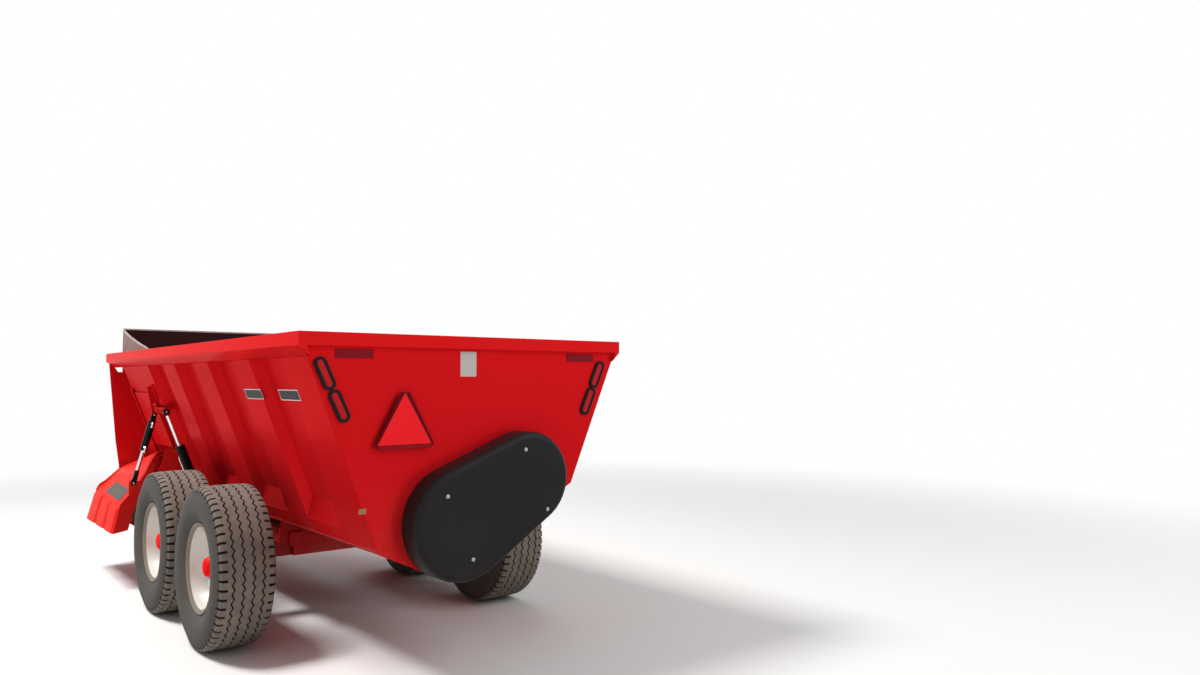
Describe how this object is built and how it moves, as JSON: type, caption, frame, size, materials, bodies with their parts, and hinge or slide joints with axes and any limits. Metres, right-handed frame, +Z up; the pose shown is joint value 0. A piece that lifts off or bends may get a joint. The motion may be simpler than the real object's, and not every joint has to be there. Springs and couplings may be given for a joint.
{
  "type": "side-discharge manure spreader",
  "caption": "Towed side-discharge manure spreader: V-shaped ribbed tank, augers, hooded side expeller with sliding gate, tandem wheels, drawbar and jack.",
  "frame": {"origin": "middle of the machine's footprint, on the ground", "axes": "+X forward to the hitch, +Y to the machine's left, the discharge side, +Z up"},
  "size_m": [7.036, 2.5404, 2.301],
  "materials": {
    "machine_red": "gloss red enamel, dusty low down",
    "wheel_silver": "silver wheel paint, dusty",
    "hub_red": "red enamel",
    "tyre": "black rubber with dust",
    "auger_steel": "scoured steel, stained",
    "rotor_steel": "worn steel, stained",
    "cast_iron": "dark casting",
    "gearbox_paint": "dark grey enamel on a casting",
    "bright_steel": "plated rod",
    "cylinder_black": "black enamel",
    "cover_black": "moulded black plastic",
    "guard_brown": "dark belting sheet",
    "lamp_red": "red lens",
    "grommet_rubber": "black rubber",
    "emblem_red": "fluorescent and dark red film"
  },
  "bodies": {
    "root": {"tank_left_wall": "machine_red", "tank_right_wall": "machine_red", "tank_rear_wall": "machine_red", "tank_front_wall": "machine_red", "trough_floor": "machine_red", "top_rim": "machine_red", "splash_guard": "guard_brown", "auger_bearings": "cast_iron", "chassis_frame": "machine_red", "floor_saddles": "machine_red", "axle_beam": "machine_red", "walking_beams": "machine_red", "drawbar": "machine_red", "hitch_clevis": "cast_iron", "jack_tube": "machine_red", "gearbox": "gearbox_paint", "front_drive_cover": "cover_black", "rear_drive_cover": "cover_black", "tail_lamps": "lamp_red", "lamp_grommets": "grommet_rubber", "rear_reflectors": "lamp_red", "slow_emblem": "emblem_red", "expeller_housing": "machine_red", "gate_guides": "machine_red", "gate_barrel": "cylinder_black", "hood_pins": "bright_steel", "hood_bracket": "machine_red"},
    "wheel_front_left": {"tyre_front_left": "tyre", "rim_front_left": "wheel_silver", "hub_front_left": "hub_red"},
    "wheel_front_right": {"tyre_front_right": "tyre", "rim_front_right": "wheel_silver", "hub_front_right": "hub_red"},
    "wheel_rear_left": {"tyre_rear_left": "tyre", "rim_rear_left": "wheel_silver", "hub_rear_left": "hub_red"},
    "wheel_rear_right": {"tyre_rear_right": "tyre", "rim_rear_right": "wheel_silver", "hub_rear_right": "hub_red"},
    "lower_auger": {"lower_auger": "auger_steel"},
    "upper_auger": {"upper_auger": "auger_steel"},
    "expeller": {"expeller_rotor": "rotor_steel"},
    "input_shaft": {"input_shaft": "bright_steel"},
    "gate": {"gate_plate": "machine_red", "gate_rod": "bright_steel"},
    "hood": {"hood": "machine_red"},
    "hood_barrel": {"hood_barrel": "cylinder_black"},
    "hood_rod": {"hood_rod": "bright_steel"},
    "jack_leg": {"jack_leg": "bright_steel"}
  },
  "joints": [
    {"name": "wheel_front_left_turn", "type": "hinge", "parent": "root", "child": "wheel_front_left", "pos_m": [-0.589, 1.02627, 0.536], "axis": [0, 1, 0], "continuous": true},
    {"name": "wheel_front_right_turn", "type": "hinge", "parent": "root", "child": "wheel_front_right", "pos_m": [-0.589, -1.07573, 0.536], "axis": [0, 1, 0], "continuous": true},
    {"name": "wheel_rear_left_turn", "type": "hinge", "parent": "root", "child": "wheel_rear_left", "pos_m": [-1.833, 1.02627, 0.536], "axis": [0, 1, 0], "continuous": true},
    {"name": "wheel_rear_right_turn", "type": "hinge", "parent": "root", "child": "wheel_rear_right", "pos_m": [-1.833, -1.07573, 0.536], "axis": [0, 1, 0], "continuous": true},
    {"name": "lower_auger_turn", "type": "hinge", "parent": "root", "child": "lower_auger", "pos_m": [-0.833, 0.14027, 0.92], "axis": [1, 0, 0], "continuous": true},
    {"name": "upper_auger_turn", "type": "hinge", "parent": "root", "child": "upper_auger", "pos_m": [-0.833, -0.32473, 1.157], "axis": [1, 0, 0], "continuous": true},
    {"name": "expeller_turn", "type": "hinge", "parent": "root", "child": "expeller", "pos_m": [0.967, 0.86027, 0.66], "axis": [1, 0, 0], "continuous": true},
    {"name": "input_turn", "type": "hinge", "parent": "root", "child": "input_shaft", "pos_m": [1.878, -0.02473, 0.76], "axis": [1, 0, 0], "continuous": true},
    {"name": "gate_slide", "type": "slide", "parent": "root", "child": "gate", "axis": [0, 0.3633, 0.9317], "range_m": [-0.27, 0.02]},
    {"name": "hood_lift", "type": "hinge", "parent": "root", "child": "hood", "pos_m": [0.96108, 0.83042, 1.06857], "axis": [0.9901, -0.033, -0.1361], "range_deg": [-2, 40]},
    {"name": "hood_barrel_turn", "type": "hinge", "parent": "root", "child": "hood_barrel", "pos_m": [0.45878, 0.95837, 1.4757], "axis": [0.9901, -0.033, -0.1361], "range_deg": [-1.16, 21.3]},
    {"name": "hood_rod_slide", "type": "slide", "parent": "hood_barrel", "child": "hood_rod", "axis": [-0.1221, 0.2733, -0.9541], "range_m": [-0.1734, 0.015]},
    {"name": "jack_slide", "type": "slide", "parent": "root", "child": "jack_leg", "axis": [0, 0, 1], "range_m": [0, 0.15]}
  ],
  "couplings": [
    {"joint": "upper_auger_turn", "follows": "lower_auger_turn", "ratio": 1.25},
    {"joint": "hood_barrel_turn", "follows": "hood_lift", "ratio": 0.52748},
    {"joint": "hood_rod_slide", "follows": "hood_lift", "m_per_rad": -0.24554}
  ]
}
